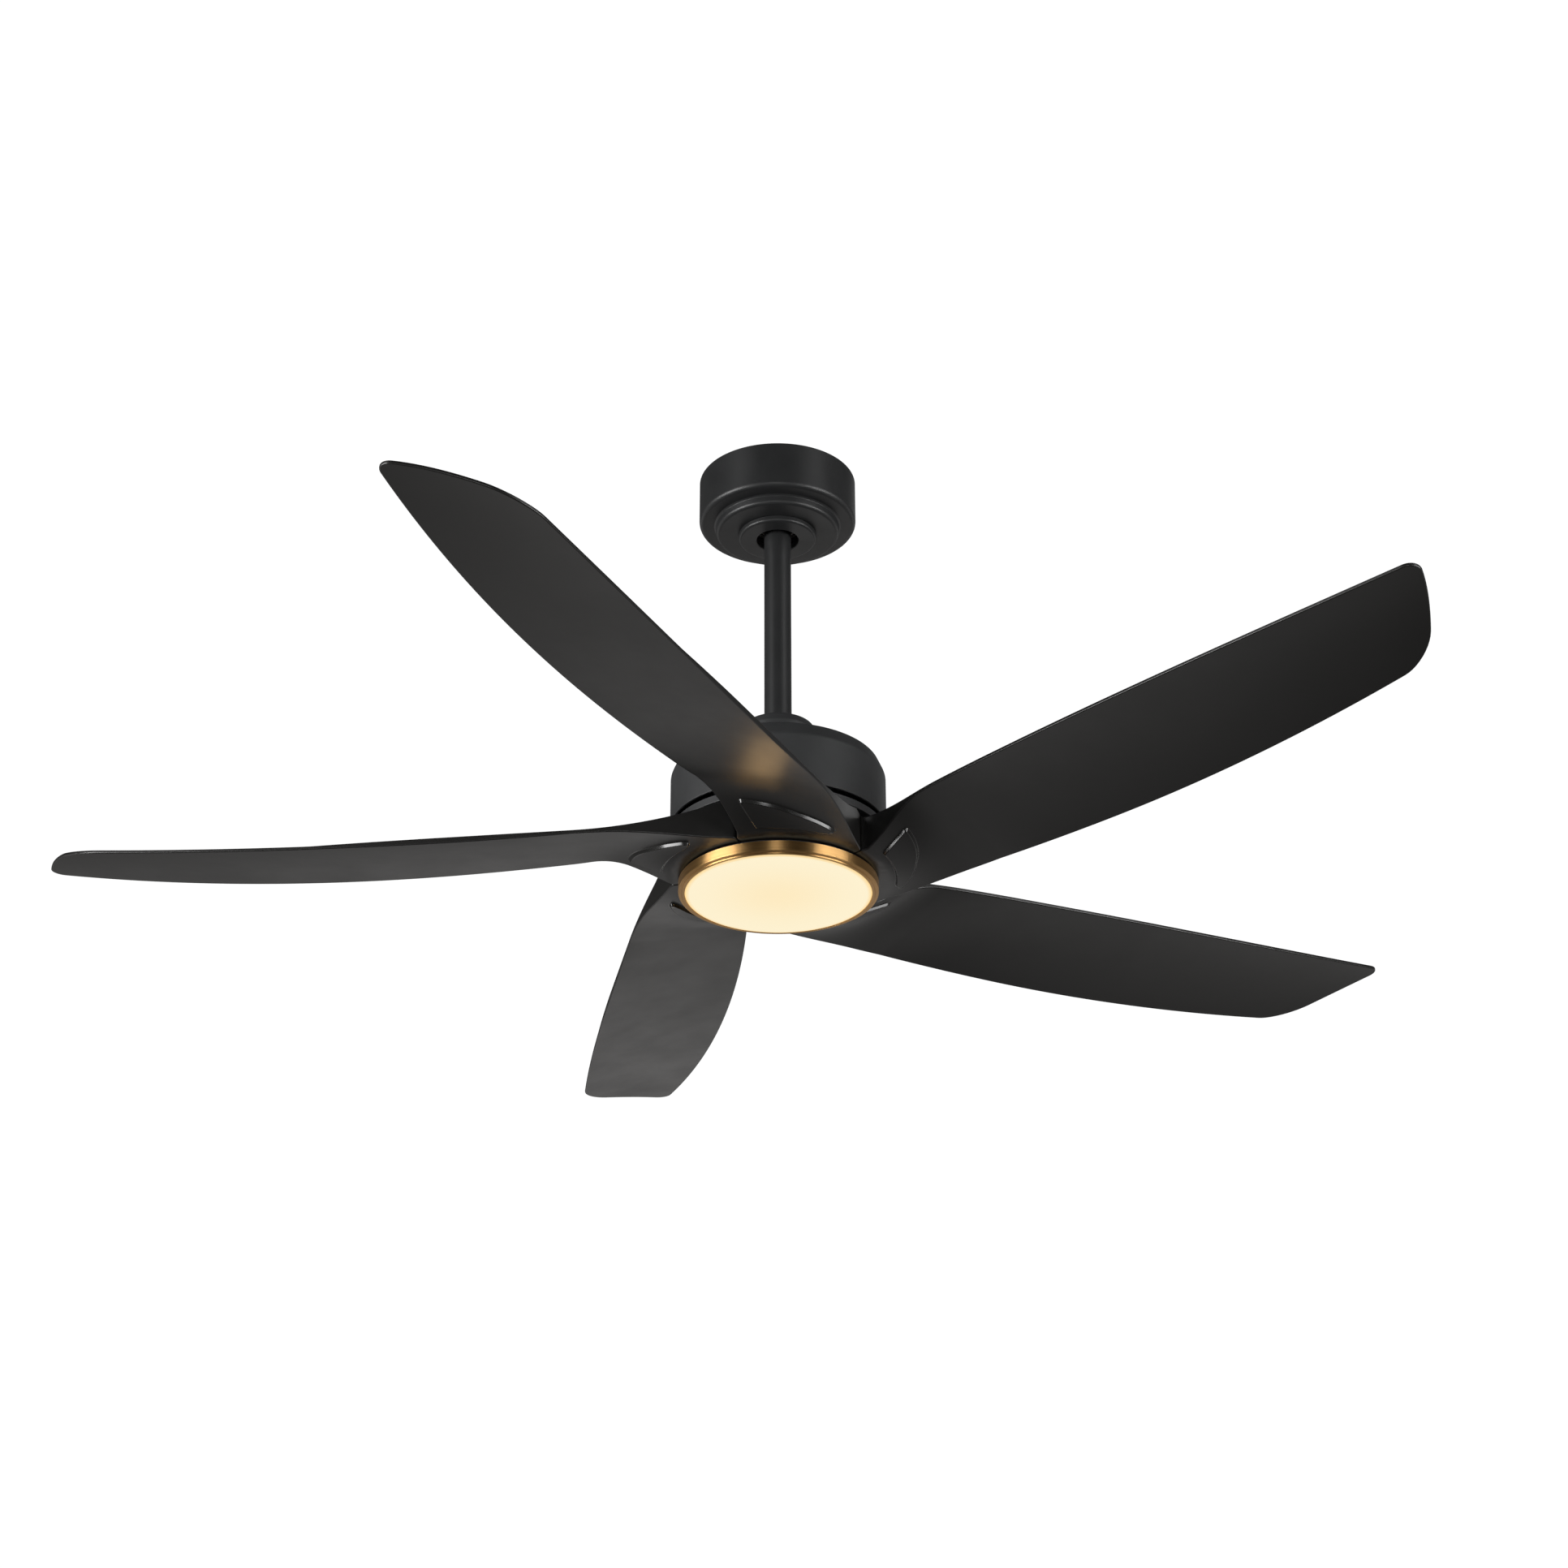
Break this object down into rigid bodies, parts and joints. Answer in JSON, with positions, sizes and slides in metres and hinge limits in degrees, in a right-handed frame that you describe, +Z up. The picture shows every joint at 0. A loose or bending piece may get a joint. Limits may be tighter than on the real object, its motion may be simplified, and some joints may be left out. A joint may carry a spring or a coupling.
{
  "type": "ceiling fan with light",
  "caption": "Downrod ceiling fan with swept black blades on a rotor under a drum motor housing, and a round warm LED light in a brass ring below.",
  "frame": {"origin": "centre of the hanger bracket top face, on the ceiling plane", "axes": "+Z up into the ceiling along the downrod; -Y towards the side the picture was taken from, +X to its right"},
  "size_m": [1.242, 1.2579, 0.4238],
  "materials": {
    "black_paint": "satin powder coat, black",
    "black_plastic": "satin moulded ABS, black",
    "steel": "machined steel",
    "zinc": "bright zinc plate",
    "brass": "brushed round the ring, clear lacquer",
    "opal": "opal acrylic, lit warm white",
    "copper": "enamelled copper wire",
    "magnet": "sintered ferrite",
    "aluminium": "die cast",
    "nylon": "natural nylon",
    "cable": "rubber jacket"
  },
  "bodies": {
    "root": {"hanger_bracket": "zinc", "canopy": "black_paint", "canopy_cover_ring": "black_paint", "canopy_screw_1": "zinc", "canopy_screw_2": "zinc", "terminal_block": "nylon", "receiver_box": "cable"},
    "ball_liner_ring": {"ball_liner": "nylon"},
    "hanging_unit": {"hanger_ball": "black_paint", "hanger_ball_pin": "steel", "downrod": "black_paint", "motor_yoke": "steel", "clevis_pin": "steel", "cotter_pin": "zinc", "yoke_set_screw_1": "zinc", "yoke_set_screw_2": "zinc", "motor_housing": "black_paint", "hollow_shaft": "steel", "stator_core": "steel", "stator_winding_upper": "copper", "stator_winding_lower": "copper", "supply_cable": "cable", "housing_screw_1": "zinc", "housing_screw_2": "zinc", "housing_screw_3": "zinc", "light_bracket": "zinc", "shaft_nut": "steel", "light_pan": "black_paint", "pan_screw_1": "zinc", "pan_screw_2": "zinc", "pan_screw_3": "zinc", "led_board": "aluminium", "led_driver": "nylon"},
    "coupling_cover_cup": {"coupling_cover": "black_paint"},
    "rotor": {"rotor_shell": "aluminium", "magnet_ring": "magnet", "rotor_flange": "black_paint", "bearing_upper": "steel", "bearing_lower": "steel", "blade_1": "black_plastic", "blade_2": "black_plastic", "blade_3": "black_plastic", "blade_4": "black_plastic", "blade_5": "black_plastic", "blade_screw_1": "zinc", "blade_screw_2": "zinc", "blade_screw_3": "zinc", "blade_screw_4": "zinc", "blade_screw_5": "zinc", "blade_screw_6": "zinc", "blade_screw_7": "zinc", "blade_screw_8": "zinc", "blade_screw_9": "zinc", "blade_screw_10": "zinc"},
    "light_cover": {"brass_ring": "brass", "diffuser": "opal"}
  },
  "joints": [
    {"name": "ceiling_tilt_x", "type": "hinge", "parent": "root", "child": "ball_liner_ring", "pos_m": [0, 0, -0.031], "axis": [1, 0, 0], "range_deg": [-7, 7]},
    {"name": "ceiling_tilt_y", "type": "hinge", "parent": "ball_liner_ring", "child": "hanging_unit", "pos_m": [0, 0, -0.031], "axis": [0, 1, 0], "range_deg": [-7, 7]},
    {"name": "rotor_spin", "type": "hinge", "parent": "hanging_unit", "child": "rotor", "pos_m": [0, 0, -0.39], "axis": [0, 0, 1], "continuous": true},
    {"name": "coupling_cover_slide", "type": "slide", "parent": "hanging_unit", "child": "coupling_cover_cup", "axis": [0, 0, 1], "range_m": [0, 0.12]},
    {"name": "light_cover_twist", "type": "hinge", "parent": "hanging_unit", "child": "light_cover", "pos_m": [0, 0, -0.415], "axis": [0, 0, 1], "range_deg": [0, 15]}
  ]
}
